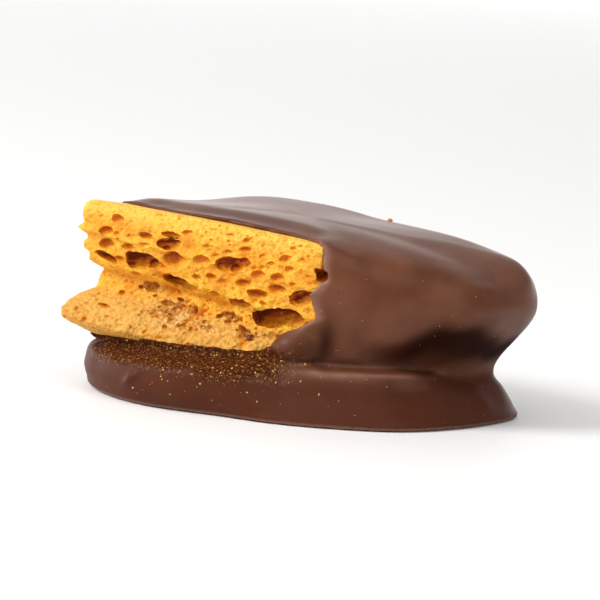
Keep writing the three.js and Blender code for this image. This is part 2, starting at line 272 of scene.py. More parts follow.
def raise_block(bm, faces, height):
    """Draws level faces straight up into a closed block."""
    raised = bmesh.ops.extrude_face_region(bm, geom=faces)["geom"]
    verts = [part for part in raised if isinstance(part, bmesh.types.BMVert)]
    bmesh.ops.translate(bm, vec=(0, 0, height), verts=verts)


# The lump's outlines and profiles.

def outline(breaks, angle, edge):
    """The radius of the outline that flat breaks make in one direction."""
    total = 0.0
    for facing, distance in breaks:
        lean = math.cos(angle - math.radians(facing))
        if lean > 0:
            total += (lean / distance) ** edge
    return total ** (-1 / edge)


def turn_of(angle):
    return math.degrees(angle) % 360


def turn_at(place):
    """The direction of a point from the middle, in degrees from +X."""
    return turn_of(math.atan2(place.y - MIDDLE.y, place.x - MIDDLE.x))


def bareness(angle):
    """1 in the bare corner, 0 where the chocolate covers the toffee."""
    return window(turn_of(angle), (BARE_FROM - BARE_FADE, BARE_FROM), (BARE_TO, BARE_TO + BARE_FADE))


def softness(turn):
    """1 along the front that the chocolate covers, where its shoulder is a wide soft curve."""
    return window(turn, *SOFT_FRONT)


def slab_top(x, y):
    """The height of the slab's upper face, which falls to the right and to the back."""
    back = BACK_FALL * smoothstep(-x, 2, 24) * max(0, y - BACK_FALL_Y)
    return SLAB_TOP - TOP_FALL * x - back - ROLL_OFF * max(0, x - ROLL_OFF_X) ** 2


def top_above(angle, radius):
    return slab_top(MIDDLE.x + radius * math.cos(angle), MIDDLE.y + radius * math.sin(angle))


def slab_edge(angle, flat):
    """The height of the slab's upper edge, which lies lower along the soft front."""
    return top_above(angle, flat) - SOFT_FALL * softness(turn_of(angle))


def relief(angle, height):
    """How far the bare breaks stand in front of the flat ones."""
    x = MIDDLE.x + outline(SLAB_BREAKS, angle, SLAB_CORNERS) * math.cos(angle)
    round_end = 1 - smoothstep(turn_of(angle), RELIEF_FROM, RELIEF_TO)
    standing = between(END_RELIEF, height + RELIEF_LEAN * (x - END_X))
    return bareness(angle) * standing * lerp(RELIEF_SHARE, 1, round_end)


def rounding(radius, depth):
    """A rounded corner: how far it is cut back at `depth` below the face."""
    share = clamp(1 - depth / radius, 0, 1)
    return radius * (1 - math.sqrt(1 - share**2))


# The slab's points crowd together towards the bare corner, in degrees from +X.
CROWD_AT = 222
CROWDING = 0.72


def ringed(sides, rings, place, crowding=0.0):
    """A closed skin of rings: a sphere whose points go to the radius and height of place(angle, t)."""
    bm = bmesh.new()
    bmesh.ops.create_uvsphere(bm, u_segments=sides, v_segments=rings, radius=1)
    for vert in bm.verts:
        turn = math.atan2(vert.co.y, vert.co.x)
        angle = turn - crowding * math.sin(turn - math.radians(CROWD_AT))
        t = round(math.acos(clamp(vert.co.z, -1, 1)) / math.pi * rings) / rings
        radius, height = place(round(angle, 6), t)
        vert.co = MIDDLE + Vector((radius * math.cos(angle), radius * math.sin(angle), height))
    bm.normal_update()
    return bm


# The chocolate's outer skin: film, shoulder, belly, tuck, neck, skirt, rim and flat underside.

COAT_SIDES = 288
COAT_RINGS = 200
PROFILE_STEPS = 16
SHOULDER_STEP = 3
NECK_STEP = 9
# The profile in each direction, and its side as a line of heights, worked out once.
profiles = {}
sides_of_coat = {}


def coat_profile(angle):
    """The points that the skin passes through in one direction, from the top's middle to the underside's.

    The foot flares at the covered end, spreads as a skirt along the front and has a heel at the left.
    """
    if angle in profiles:
        return profiles[angle]
    turn = turn_of(angle)
    body = outline(BREAKS, angle, COAT_CORNERS)
    coat = lerp(SIDE_COAT, LIP_COAT, window(turn, *LIP_SPAN))
    rim = outline(FOOT_RIM, angle, RIM_CORNERS) + 0.5 * math.sin(3 * angle + 1) + 0.3 * math.sin(7 * angle)
    neck = outline(NECK, angle, NECK_CORNERS)
    flare = 1 - smoothstep(abs(turn - 360 if turn > 180 else turn), 22, 60)
    skirt = window(turn, *SKIRT_SPAN)
    shelf = lerp(0.45, 0.28, smoothstep(turn, 298, 325))
    heel = window(turn, *HEEL_SPAN)
    soft = softness(turn)
    edge = top_above(angle, body)
    low = NECK_HEIGHT - 1.1 * flare - 0.3 * soft - 0.4 * heel

    def up(share):
        return lerp(low, edge, share)

    profiles[angle] = [
        (0, top_above(angle, 0) + FILM),
        (0.4 * body, top_above(angle, 0.4 * body) + FILM - 0.25 * soft),
        (0.72 * body, top_above(angle, 0.72 * body) + FILM - 1.0 * soft),
        (0.9 * body, top_above(angle, 0.9 * body) + FILM - 2.0 * soft),
        (body - lerp(0.4, 0.3, soft), edge + 0.5 - 2.4 * soft),
        (body + lerp(0.75, 0.68, soft) * coat, up(lerp(0.85, 0.79, soft))),
        (body + coat, up(0.6)),
        (body + lerp(coat, neck - body, lerp(0.2, 0.42, flare)), up(0.34)),
        (lerp(body, neck, 0.75), up(0.13)),
        (neck, low),
        (
            lerp(neck, rim, lerp(lerp(lerp(0.6, 0.08, flare), shelf, skirt), 0.8, heel)) + 0.2 * heel,
            lerp(lerp(7, 7.4, skirt), 6.4, heel) - 1.2 * flare * (1 - skirt),
        ),
        (
            lerp(neck, rim, lerp(lerp(0.94, 0.5, flare), 0.68, skirt)) + 0.3 * heel,
            lerp(4.4, 3.9, skirt) - 0.2 * flare,
        ),
        (rim, lerp(lerp(2, 1.1, flare), 0.9, skirt) + 0.5 * heel),
        (rim - lerp(lerp(1, 0.3, flare), 0.4, skirt) - 0.7 * heel, 0),
        (0.8 * rim, 0),
        (0.4 * rim, 0),
        (0, 0),
    ]
    return profiles[angle]


def coat_radius(angle, height):
    """How far out the chocolate's side lies at a height, between its shoulder and its neck."""
    if angle not in sides_of_coat:
        first, last = SHOULDER_STEP / PROFILE_STEPS, NECK_STEP / PROFILE_STEPS
        steps = 40
        line = [curve(coat_profile(angle), lerp(first, last, i / steps)) for i in range(steps + 1)]
        sides_of_coat[angle] = [(up, out) for out, up in reversed(line)]
    return between(sides_of_coat[angle], height)


def chocolate_skin(angle, t):
    """The skin's radius and height in one direction, `t` of the way along its profile."""
    radius, height = curve(coat_profile(angle), t)
    return radius, max(0, height)


# The toffee slab's skin, ring by ring.

SLAB_RINGS = {"top": 20, "side": 104, "under": 6, "root": 8, "floor": 4}
SLAB_SIDES = 380
# The smooth skin that places are found on, and the coarser skins that shape the coat.
SMOOTH_RINGS = {**SLAB_RINGS, "side": 60}
SMOOTH_SIDES = 160
ROOM_RINGS = {"top": 12, "side": 34, "under": 4, "root": 6, "floor": 4}
ROOM_SIDES = 200
SOAKED_RINGS = {**ROOM_RINGS, "side": 50}
SOAKED_SIDES = 260
SHELF = SLAB_BASE - 0.8


def tornness(place):
    """1 low down, where the foam tore instead of snapping, and 0 above."""
    limit = 15.2 - RELIEF_LEAN * (place.x - END_X) * 0.7 + 1.4 * ripple(place, 5)
    return 1 - smoothstep(place.z, limit - 1.2, limit + 0.8)


def foam(place, size):
    """How deep a point lies in the small round bubbles of a cut foam, 0 on the walls between them."""
    spaced, centres = noise.voronoi(Vector(place) / size)
    reach = 0.4 + 0.18 * noise.cell(centres[0] * 7.3)
    return size * math.sqrt(max(0, reach**2 - spaced[0] ** 2))


def crushing(place):
    """1 in the middle of the crushed hollows and 0 away from them."""
    return max(
        1 - smoothstep(math.hypot((place.x - x) / wide, (place.z - z) / high), 0.3, 1.5)
        for x, z, wide, high, _ in CRUSHED
    )


def crags(place, angle):
    """Roughness of the bare breaks: fine foam above, crushed low down."""
    torn = tornness(place)
    crushed = crushing(place)
    fine = 0.14 * ripple(place, 2.6) + 0.1 * ripple(place, 0.8, 5)
    coarse = 0.42 * ripple(place, 1.9, 9) + 0.3 * ripple(place, 0.8, 3) + 0.12 * ripple(place, 0.4, 8)
    crowd = smoothstep(ripple(place, 3, 12), -0.35, 0.25)
    pits = 0.6 * crowd * foam(place, 1.25) + 0.7 * foam(place + Vector((3, 5, 7)), 0.6)
    crumbled = crushed * (1.5 * ripple(place, 1.4, 15) + 1.0 * ripple(place, 0.6, 16) - 0.7)
    return bareness(angle) * (0.3 * ripple(place, 7, 2) + lerp(fine, coarse, torn) - pits + crumbled)


def slab_side(angle, height, gap=0.0, rough=True):
    """How far out the slab's side lies at a height. Under the coat it keeps LEAST_COAT from the outside."""
    bare = bareness(angle)
    flat = outline(SLAB_BREAKS, angle, SLAB_CORNERS)
    top = slab_edge(angle, flat)
    place = MIDDLE + Vector((flat * math.cos(angle), flat * math.sin(angle), height))
    worn = 0.9 + 0.5 * ripple(place, 1.6, 17)
    cut = rounding(lerp(lerp(3.6, 6.2, softness(turn_of(angle))), worn, bare), top - height)
    cut += rounding(lerp(2, 0.7, bare), height - SLAB_BASE)
    broken = flat - cut + relief(angle, height) + (crags(place, angle) if bare and rough else 0)
    if bare < 1:
        broken = min(broken, coat_radius(angle, height) - LEAST_COAT)
    return broken + gap


def toffee_skin(gap, rings, rough=True):
    """The slab's skin, drawn out by `gap`, as a place function and the count of its rings."""
    top_end = rings["top"]
    side_end = top_end + rings["side"]
    under_end = side_end + rings["under"]
    root_end = under_end + rings["root"]
    floor_end = root_end + rings["floor"]

    def place(angle, t):
        ring = round(t * floor_end)
        flat = outline(SLAB_BREAKS, angle, SLAB_CORNERS)
        top = slab_edge(angle, flat)
        fall = SOFT_FALL * softness(turn_of(angle))
        foot = slab_side(angle, SLAB_BASE, 0, rough)
        root = min(ROOT_SHARE * outline(NECK, angle, NECK_CORNERS), foot - 0.5)
        if ring <= top_end:
            share = ring / top_end
            radius = slab_side(angle, top, 0, rough) * share
            return radius + gap * share, top_above(angle, radius) - fall * smoothstep(share, 0.2, 1) + gap
        if ring < side_end:
            height = lerp(top, SLAB_BASE, (ring - top_end) / rings["side"])
            return slab_side(angle, height, gap, rough), height
        if ring <= under_end:
            share = (ring - side_end) / rings["under"]
            return lerp(foot, root, share) + gap, lerp(SLAB_BASE, SHELF, share) - gap
        if ring <= root_end:
            share = (ring - under_end) / rings["root"]
            return root * lerp(1, ROOT_TAPER, share) + gap, lerp(SHELF, ROOT_BASE, share) - gap
        share = (floor_end - ring) / rings["floor"]
        return (root * ROOT_TAPER + gap) * share, ROOT_BASE - gap

    return place, floor_end


def slab_skin(gap, sides, rings, rough=True):
    """The slab as a closed bmesh, drawn out by `gap`."""
    place, count = toffee_skin(gap, rings, rough)
    return ringed(sides, count, place, crowding=CROWDING)


# Bubbles in the toffee.

# Lines that look for a place on a skin start this far out: straight in front, and all round.
OUTSIDE = 60
ALL_ROUND = 80


def on_skin(tree, start, towards):
    """Where a straight line from outside first meets the skin, and the way the skin faces there."""
    place, facing, _, _ = tree.ray_cast(Vector(start), Vector(towards).normalized())
    return place, facing


def on_front(tree, x, z):
    """The place on the front at x and z, and the way the skin faces there."""
    return on_skin(tree, (x, -OUTSIDE, z), (0, 1, 0))


def levelled(facing):
    return Vector((facing.x, facing.y, 0)).normalized()


def named_bubbles(tree):
    """The bubbles that have a place of their own."""
    found = []
    kinds = ((DEEP_BUBBLES, DEEP, DEEP_REACH), (SHALLOW_BUBBLES, SHALLOW, SHALLOW_REACH))
    for bubbles, sunk, reach in kinds:
        # A bubble whose middle isn't on the break grows until its mouth has the width and height wanted.
        grow = 1 / math.sqrt(1 - (2 * sunk) ** 2)
        for x, z, width, height, tilt in bubbles:
            place, facing = on_front(tree, x, z)
            wide, high = grow * width, grow * height
            found.append(Bubble(place, levelled(facing), wide, high, reach * width, tilt, sunk))
    return found


def strewn_bubbles(tree, rng, taken, count, widths, angles, heights, sunk, flatness):
    """Smaller bubbles, scattered over the breaks so that walls stay between them."""
    found = []
    for _ in range(count * 6):
        if len(found) == count:
            break
        angle = math.radians(rng.uniform(*angles))
        z = rng.uniform(*heights)
        start = MIDDLE + Vector((ALL_ROUND * math.cos(angle), ALL_ROUND * math.sin(angle), z))
        place, facing = on_skin(tree, start, MIDDLE + Vector((0, 0, z)) - start)
        if place is None or facing.z > 0.9:
            continue
        width = widths[0] * (widths[1] / widths[0]) ** rng.random() ** 1.6
        if any((place - at).length < 0.5 * (width + size) * rng.uniform(0.6, 1.05) for at, size in taken):
            continue
        height = width * rng.uniform(*flatness)
        taken.append((place, width))
        lies = sunk + rng.uniform(-0.1, 0.1)
        depth = width * rng.uniform(0.7, 1.1)
        found.append(Bubble(place, facing, width, height, depth, rng.uniform(-14, 10), lies))
    return found


def crushed_bubbles(tree, rng):
    """Small bubbles crowded together where the foam was crushed."""
    found = []
    for x, z, half_width, half_height, count in CRUSHED:
        for _ in range(count):
            turn, far = rng.uniform(0, TAU), math.sqrt(rng.random())
            across, up = half_width * far * math.cos(turn), half_height * far * math.sin(turn)
            place, facing = on_front(tree, x + across, z + up)
            size = rng.uniform(0.5, 1.3)
            height, tilt = size * rng.uniform(0.5, 0.9), rng.uniform(-30, 20)
            found.append(Bubble(place, levelled(facing), size, height, size * 1.4, tilt, DEEP))
    return found


def inner_bubbles(big, rng):
    """Smaller bubbles that open into the wall of a large one."""
    found = []
    place, facing, width, height, depth = big[:5]
    across = facing.cross(Vector((0, 0, 1))).normalized()
    for _ in range(int(2 + width)):
        side = Vector((rng.uniform(-1, 1), rng.uniform(-1, 1), rng.uniform(-1, 1))).normalized()
        side -= facing * max(0, side.dot(facing)) * 1.6
        reach = Vector((0, 0, 0.42 * height * side.z)) + across * (0.42 * width * side.dot(across))
        reach -= facing * (0.25 * depth * abs(side.dot(facing)) + 0.12 * depth)
        size = height * rng.uniform(0.3, 0.55)
        found.append(Bubble(place + reach, facing, size * 1.3, size, size * 1.2, 0, DEEP))
    return found


def bubble_into(bm, spec, rng):
    """Adds one uneven round bubble to a bmesh, wide ones with more faces."""
    place, facing, width, height, depth, tilt, sunk = spec
    detail = 4 if width > 3 else 3 if width > 1.1 else 2
    made = bmesh.ops.create_icosphere(bm, subdivisions=detail, radius=0.5)["verts"]
    seed = rng.uniform(0, 90)
    for vert in made:
        at = vert.co + Vector((seed, 0, 0))
        vert.co *= 1 + 0.2 * noise.noise(at * 2.4) + 0.07 * noise.noise(at * 7)
    faced = Matrix.Rotation(math.atan2(facing.y, facing.x), 4, "Z")
    turned = faced @ Matrix.Rotation(math.radians(tilt), 4, "X")
    sized = Matrix.Diagonal((depth, width, height, 1))
    centre = Matrix.Translation(place - facing * sunk * depth)
    bmesh.ops.transform(bm, matrix=centre @ turned @ sized, verts=made)


def bubble_layers(specs, rng):
    """The bubbles as a few meshes in which none touches another, so that each mesh cuts cleanly."""
    layers = []
    for spec in specs:
        place, width = spec.place, max(spec.width, spec.height, spec.depth)
        for layer in layers:
            if all((place - other).length > 0.6 * (width + size) for other, size in layer["taken"]):
                break
        else:
            layer = {"taken": [], "bm": bmesh.new()}
            layers.append(layer)
        layer["taken"].append((place, width))
        bubble_into(layer["bm"], spec, rng)
    return [piece("bubbles", layer["bm"]) for layer in layers]


# Painted light and shade in the bubbles: a bubble is painted darkest this deep, and painted lighter where its
# wall faces up and to the left.
PAINTED_LIGHT_FROM = Vector((-0.6, -0.3, 0.74))
PAINTED_LIGHT_GAIN = 1.3
DARKEST_DEPTH = 1.6
PIT_SHADE_UNLIT = 1.2
PIT_SHADE_LIT = 0.15


def painted_pit_shade_at(skin, vert):
    """Painted shade: how deep a point lies in a bubble, less as painted light where the wall faces up and to
    the left.
    """
    lit = clamp(PAINTED_LIGHT_GAIN * vert.normal.dot(PAINTED_LIGHT_FROM), 0, 1)
    nearest, outward, _, _ = skin.find_nearest(vert.co)
    depth = (nearest - vert.co).dot(outward)
    return clamp(depth / DARKEST_DEPTH, 0, 1) * lerp(PIT_SHADE_UNLIT, PIT_SHADE_LIT, lit)


# A bubble wider than this has smaller ones in its wall.
LARGE_BUBBLE = 2.8
# The crust fades between these depths below the slab's upper face.
CRUST_SPAN = (0.6, 3.6)


def honeycomb(rng):
    """The toffee slab, bare and full of bubbles at the front left."""
    slab = piece("toffee_honeycomb", slab_skin(0, SLAB_SIDES, SLAB_RINGS))
    plain = piece("plain_slab", slab_skin(0, SMOOTH_SIDES, SMOOTH_RINGS, rough=False))
    skin = tree_of(plain)
    bpy.data.meshes.remove(plain.data)
    specs = named_bubbles(skin)
    taken = [(spec.place, spec.width) for spec in specs]
    for big in [spec for spec in specs if spec.width > LARGE_BUBBLE and spec.sunk > 0]:
        specs += inner_bubbles(big, rng)
    specs += crushed_bubbles(skin, rng)
    for kind in STREWN:
        specs += strewn_bubbles(skin, rng, taken, *kind)
    for layer in bubble_layers(specs, rng):
        join_or_cut(slab, layer, "DIFFERENCE")
    worn = slab.modifiers.new("worn", "SMOOTH")
    worn.factor = 0.4
    worn.iterations = 2
    settle(slab)
    slab.data.validate()
    places = [vert.co for vert in slab.data.vertices]
    below_top = [slab_top(place.x, place.y) - place.z for place in places]
    # Painted shade in the bubbles, with painted light on walls that face up and to the left.
    mark(slab, "painted_pit_shade", [painted_pit_shade_at(skin, vert) for vert in slab.data.vertices])
    mark(slab, "crushed", [crushing(place) for place in places])
    mark(slab, "torn", [tornness(place) for place in places])
    mark(slab, "crust", [1 - smoothstep(depth, *CRUST_SPAN) for depth in below_top])
    return slab, specs


# The chocolate.

def bare_corner():
    """What the dipping left bare: a block over the front-left corner, with a wandering edge."""
    low, high = 8.5, 34
    first = Vector(BARE_EDGE[0])
    straight, winding = 14, 90
    edge = [(first.x, lerp(-26, first.y, i / straight)) for i in range(straight)]
    edge += [tuple(curve(BARE_EDGE, i / winding)) for i in range(winding + 1)]
    plan = [(first.x, -45)] + edge + [(-55, 3), (-55, -45)]
    bm = bmesh.new()
    floor = bm.faces.new([bm.verts.new((x, y, low)) for x, y in plan])
    raise_block(bm, [floor], high - low)
    uprights = [e for e in bm.edges if abs(e.verts[0].co.z - e.verts[1].co.z) > 1]
    bmesh.ops.subdivide_edges(bm, edges=uprights, cuts=44)
    bmesh.ops.triangulate(bm, faces=bm.faces[:])
    bmesh.ops.recalc_face_normals(bm, faces=bm.faces[:])
    for vert in bm.verts:
        x, y, z = at = tuple(vert.co)
        if x < -40 or y < -40:
            continue
        near = smoothstep(x, -16, -1)
        vert.co.x += near * between(FRONT_EDGE, z) + 0.55 * ripple(at, 3.4, 1) + 0.3 * ripple(at, 1.5, 4)
        vert.co.y += (1 - near) * 0.5 * ripple(at, 3, 7)
    return piece("bare_corner", bm)


def hanging_drop(skin):
    """The drop of chocolate that hangs over the foot of the break."""
    place, _ = on_front(skin, *LIP["place"])
    bm = bmesh.new()
    bmesh.ops.create_uvsphere(bm, u_segments=40, v_segments=24, radius=0.5)
    bmesh.ops.scale(bm, vec=LIP["size"], verts=bm.verts)
    bmesh.ops.translate(bm, vec=place + Vector((0, LIP["sunk"], 0)), verts=bm.verts)
    return piece("hanging_drop", bm)


COAT_VOXEL = 0.425
# The film over the top is this much thinner at the bare edge, and full again this far behind it.
THIN_BY_EDGE = 0.85
THIN_REACH = 7
EDGE_SLANT = 0.85
# How thick the soaked chocolate is, and how high it crept, at the front and at the left end.
SOAKED_GAP = 0.5
SOAKED_TO = 9.2
SOAKED_AT_END = 8.5
# The coat reaches this far into the slab's skin, so that no crack shows between them.
ROOM_GAP = -0.15
# Only wide bubbles to the right of this x open into the coat.
EDGE_BUBBLE_X = -2.5
EDGE_BUBBLE_WIDTH = 1.2


def from_bare_edge(x, y):
    """Roughly how far behind the bare corner's edge a point of the top lies."""
    return EDGE_SLANT * (y - between(sorted(BARE_EDGE), x))


def soaked_under():
    """The chocolate that crept up the torn underside of the toffee, with a ragged upper edge."""
    under = piece("soaked_under", slab_skin(SOAKED_GAP, SOAKED_SIDES, SOAKED_RINGS))
    bm = bmesh.new()
    bmesh.ops.create_grid(bm, x_segments=240, y_segments=180, size=0.5)
    bmesh.ops.scale(bm, vec=(90, 60, 1), verts=bm.verts)
    for vert in bm.verts:
        flat = (vert.co.x, vert.co.y, 0)
        teeth = 0.5 * ripple(flat, 0.7, 2) + 0.35 * ripple(flat, 3, 6)
        vert.co.z = lerp(SOAKED_TO, SOAKED_AT_END, smoothstep(-vert.co.x, 19, 27)) + teeth
    raise_block(bm, bm.faces[:], 30)
    bmesh.ops.recalc_face_normals(bm, faces=bm.faces[:])
    join_or_cut(under, piece("above", bm), "DIFFERENCE")
    return under


def ledge_dust_and_shade_at(place):
    """1 on the ledge under the break, where dust and crumbs of toffee set into the chocolate and its dark
    colour is partly painted shade under the break's overhang.
    """
    under = window(turn_at(place), *LEDGE_SPAN)
    limit = 5.6 + 1.2 * ripple(place, 4, 2)
    return under * smoothstep(place.z, limit - 1.2, limit + 1.2) * (1 - smoothstep(place.z, 9.6, 10.4))


def painted_shade_at(place):
    """Painted shade: darkest in the tuck under the covered end, dark beside the drop, on it and in the
    crease, and the foot darker low down.
    """
    # Counted from 180 to 540, so that the spans run on past the covered end at 360.
    turn = (turn_at(place) + 180) % 360 + 180
    front = window(turn, (286, 316), (352, 374))
    back = 0.7 * window(turn, (372, 396), (490, 520))
    share = smoothstep(turn, 300, 320) * (1 - 0.8 * smoothstep(turn, 326, 347))
    off = place.z + 0.8 * ripple(place, 5, 11) - lerp(10.0, 12.8, share)
    off /= lerp(1.8, 2.9, share) if off > 0 else lerp(1.9, 4.4, share)
    tuck = max(front, back) * math.exp(-abs(off) ** 3)
    # Painted shadow at the right of the drop, and the drop itself painted darker.
    by_drop = drop = 0
    if place.y < -15:
        by_drop = 0.85 * hump(place.x, 4.2, 1.5) * hump(place.z, 11.2, 3.6)
        drop = 0.6 * hump(place.x, 0.6, 2.8) * hump(place.z, 9.8, 2.4)
    crease = 0.7 * window(turn, (252, 262), (286, 310)) * hump(place.z, 8.7, 0.6)
    foot = 0.4 * (1 - smoothstep(place.z, 6, 8.5))
    return max(tuck, by_drop, drop, crease, foot)


def painted_sheen_at(place, facing):
    """Painted sheen at the coat's thin edge beside the break, and a painted highlight along the edge of the
    foot's ledge.
    """
    ledge = window(turn_at(place), (246, 256), (306, 322)) * window(place.z, (5, 5.8), (8.2, 8.6))
    ledge *= hump(facing.z, 0.6, 0.22) * (0.6 + 0.5 * ripple(place, 2.5, 18))
    edge = BARE_EDGE[0][0] + between(FRONT_EDGE, place.z) + 0.7 * ripple(place, 2, 13)
    beside = 1 - smoothstep(place.x - edge, 0.4, 2.2)
    beside *= (1 - smoothstep(place.y, -18, -15)) * smoothstep(place.z, 11, 14)
    return max(0.6 * beside, ledge)


# Small runs and ridges in the front: x, z, half length, half width, tilt in degrees and height.
RUNS = [
    (-23.2, 3.7, 1.4, 0.5, 52, 0.6), (-5.7, 8, 1.7, 0.45, 8, 0.3), (-1.9, 7.8, 0.9, 0.4, -6, 0.3),
    (13.5, 7.6, 5, 0.5, -3, 0.2), (27.6, 3.4, 2, 0.8, -40, 0.3), (-16.5, 2.2, 3.2, 0.7, -6, 0.25),
    (-29, 5.8, 2, 0.7, 82, 0.25), (20.5, 7.4, 1.6, 0.5, 10, 0.2),
]


def runs_at(place):
    """How far the runs and ridges lift the front of the chocolate at a point."""
    if place.y > -4:
        return 0
    lift = 0
    for x, z, half_length, half_width, tilt, height in RUNS:
        across, up = place.x - x, place.z - z
        if abs(across) < 3 * half_length and abs(up) < 3 * half_length:
            c, s = math.cos(math.radians(tilt)), math.sin(math.radians(tilt))
            along, over = (across * c + up * s) / half_length, (up * c - across * s) / half_width
            lift += height * math.exp(-along * along - over * over)
    return lift


def rim_edge(vert):
    """The set edge of the foot: it runs out to a thin edge where it met the tray."""
    level = Vector((vert.normal.x, vert.normal.y, 0))
    return level * (0.55 * (1 - smoothstep(vert.co.z, 0.1, 1.7)))


def poured_skin():
    """The coat's outer skin as it ran and set: uneven, calm over the soft front, thin by the bare edge."""
    bm = ringed(COAT_SIDES, COAT_RINGS, chocolate_skin)
    for vert in bm.verts:
        place = vert.co.copy()
        level = 1 - smoothstep(vert.normal.z, 0.5, 0.95)
        turn = turn_at(place)
        uneven = 1 - 0.8 * smoothstep(turn, 255, 290) * (1 - smoothstep(turn, 335, 358)) * (1 - level)
        flow = 0.3 * (uneven * ripple(place, 11) + 0.5) + 0.12 * level * ripple(place, 4.5, 3)
        low = smoothstep(place.z, 0, 2.5)
        vert.co += vert.normal * flow * low
        near = 1 - smoothstep(from_bare_edge(place.x, place.y), 0, THIN_REACH)
        near *= 1 - smoothstep(place.x, 0, 5)
        over = smoothstep(place.z - slab_top(place.x, place.y), 0.2, 0.9)
        vert.co.z = max(0, vert.co.z - THIN_BY_EDGE * near * over)
    return bm


def chocolate_coat(rng, specs):
    """The coat: a poured skin round the slab, its edge melted round where the break is bare."""
    coat = piece("milk_chocolate_coat", poured_skin())
    skin = tree_of(coat)
    join_or_cut(coat, bare_corner(), "DIFFERENCE")
    join_or_cut(coat, hanging_drop(skin), "UNION")
    join_or_cut(coat, soaked_under(), "UNION")
    join_or_cut(coat, piece("room", slab_skin(ROOM_GAP, ROOM_SIDES, ROOM_RINGS)), "DIFFERENCE")
    edge_bubbles = [
        spec for spec in specs
        if spec.place.x > EDGE_BUBBLE_X and spec.width > EDGE_BUBBLE_WIDTH and spec.sunk > 0
    ]
    for layer in bubble_layers(edge_bubbles, rng):
        join_or_cut(coat, layer, "DIFFERENCE")
    remesh = coat.modifiers.new("melt", "REMESH")
    remesh.mode = "VOXEL"
    remesh.voxel_size = COAT_VOXEL
    smooth = coat.modifiers.new("smooth", "SMOOTH")
    smooth.factor = 0.5
    smooth.iterations = 7
    settle(coat)
    verts = coat.data.vertices
    ledge_dust_and_shade = [ledge_dust_and_shade_at(vert.co) for vert in verts]
    moved = [
        vert.co + rim_edge(vert) + vert.normal * (
            runs_at(vert.co) + share * (0.16 * ripple(vert.co, 0.9, 4) + 0.16 * ripple(vert.co, 2, 1))
        )
        for vert, share in zip(verts, ledge_dust_and_shade)
    ]
    verts.foreach_set("co", [c for place in moved for c in place])
    # Toffee dust on the ledge, its darkness partly painted shade.
    mark(coat, "ledge_dust_and_shade", ledge_dust_and_shade)
    # Painted shade in the tuck, by the drop and in the crease, and a darker foot low down.
    mark(coat, "painted_shade", [painted_shade_at(vert.co) for vert in verts])
    # Painted sheen by the bare edge and a painted highlight along the ledge's edge.
    mark(coat, "painted_sheen", [painted_sheen_at(vert.co, vert.normal) for vert in verts])
    return coat


# Crumbs.

CRUMBS = 130
SPECKS = 260
TOP_CRUMB = (12.35, 14.5)


def crumb_into(bm, place, size, rng):
    """Adds one broken crumb to a bmesh, turned at random."""
    made = bmesh.ops.create_icosphere(bm, subdivisions=1, radius=0.5)["verts"]
    for vert in made:
        vert.co *= rng.uniform(0.65, 1.25)
    sized = Matrix.Diagonal((size * rng.uniform(0.7, 1.5), size, size * rng.uniform(0.5, 1), 1))
    turned = Matrix.Rotation(rng.uniform(0, TAU), 4, "Z") @ Matrix.Rotation(rng.uniform(0, TAU), 4, "X")
    bmesh.ops.transform(bm, matrix=Matrix.Translation(place) @ turned @ sized, verts=made)


def crumbs(coat, rng):
    """Toffee crumbs that fell on the foot under the break, and one on top."""
    skin = tree_of(coat)
    bm = bmesh.new()
    for _ in range(CRUMBS):
        x = clamp(rng.gauss(-10, 7.5), -29, 6)
        z = clamp(8.6 - abs(rng.gauss(0, 2.2)), 2.5, 8.4)
        place, _ = on_front(skin, x, z)
        if place is not None:
            crumb_into(bm, place, 0.13 + 0.38 * rng.random() ** 3, rng)
    place, _ = on_skin(skin, (*TOP_CRUMB, OUTSIDE), (0, 0, -1))
    crumb_into(bm, place + Vector((0, 0, 0.2)), 1.0, rng)
    return piece("toffee_crumbs", bm)


def dust(coat, rng):
    """Fine toffee dust, sparse all over the coat."""
    skin = tree_of(coat)
    bm = bmesh.new()
    verts = coat.data.vertices
    made = 0
    while made < SPECKS:
        vert = verts[rng.randrange(len(verts))]
        outside = vert.co + vert.normal * 0.3
        if skin.ray_cast(outside, vert.normal)[0] is not None or vert.co.z < 1:
            continue
        crumb_into(bm, vert.co, rng.uniform(0.09, 0.2), rng)
        made += 1
    return piece("toffee_dust", bm)


# Materials.

def linear(code):
    """An sRGB hex colour as linear red, green, blue and alpha."""
    parts = [int(code[i:i + 2], 16) / 255 for i in (1, 3, 5)]
    return [c / 12.92 if c <= 0.04045 else ((c + 0.055) / 1.055) ** 2.4 for c in parts] + [1.0]


def per_metre(size):
    """The scale of a pattern on Object coordinates whose features are `size` millimetres across."""
    return 1 / (size * MM)


def add(tree, kind, out, settings=None, links=None, stops=None):
    """Adds a node, sets its sockets or properties, links its inputs, fills its ramp, and gives its output."""
    made = tree.nodes.new(kind)
    for key, value in (settings or {}).items():
        if isinstance(key, str) and hasattr(made, key):
            setattr(made, key, value)
        else:
            made.inputs[key].default_value = value
    for key, source in (links or {}).items():
        tree.links.new(source, made.inputs[key])
    for i, (place, colour) in enumerate(stops or []):
        ramp = made.color_ramp.elements
        stop = ramp[i] if i < 2 else ramp.new(place)
        stop.position = place
        stop.color = linear(colour)
    return made.outputs[out]


def material(name, surface_of):
    """A material with the surface that surface_of makes in its node tree."""
    made = bpy.data.materials.new(name)
    made.use_nodes = True
    tree = made.node_tree
    tree.nodes.clear()
    output = tree.nodes.new("ShaderNodeOutputMaterial")
    tree.links.new(surface_of(tree), output.inputs["Surface"])
    return made


# The sockets of a Mix node for colours: how much, the colour below, the one laid over it, and the result.
FACTOR, BELOW, ABOVE, MIXED = 0, 6, 7, 2


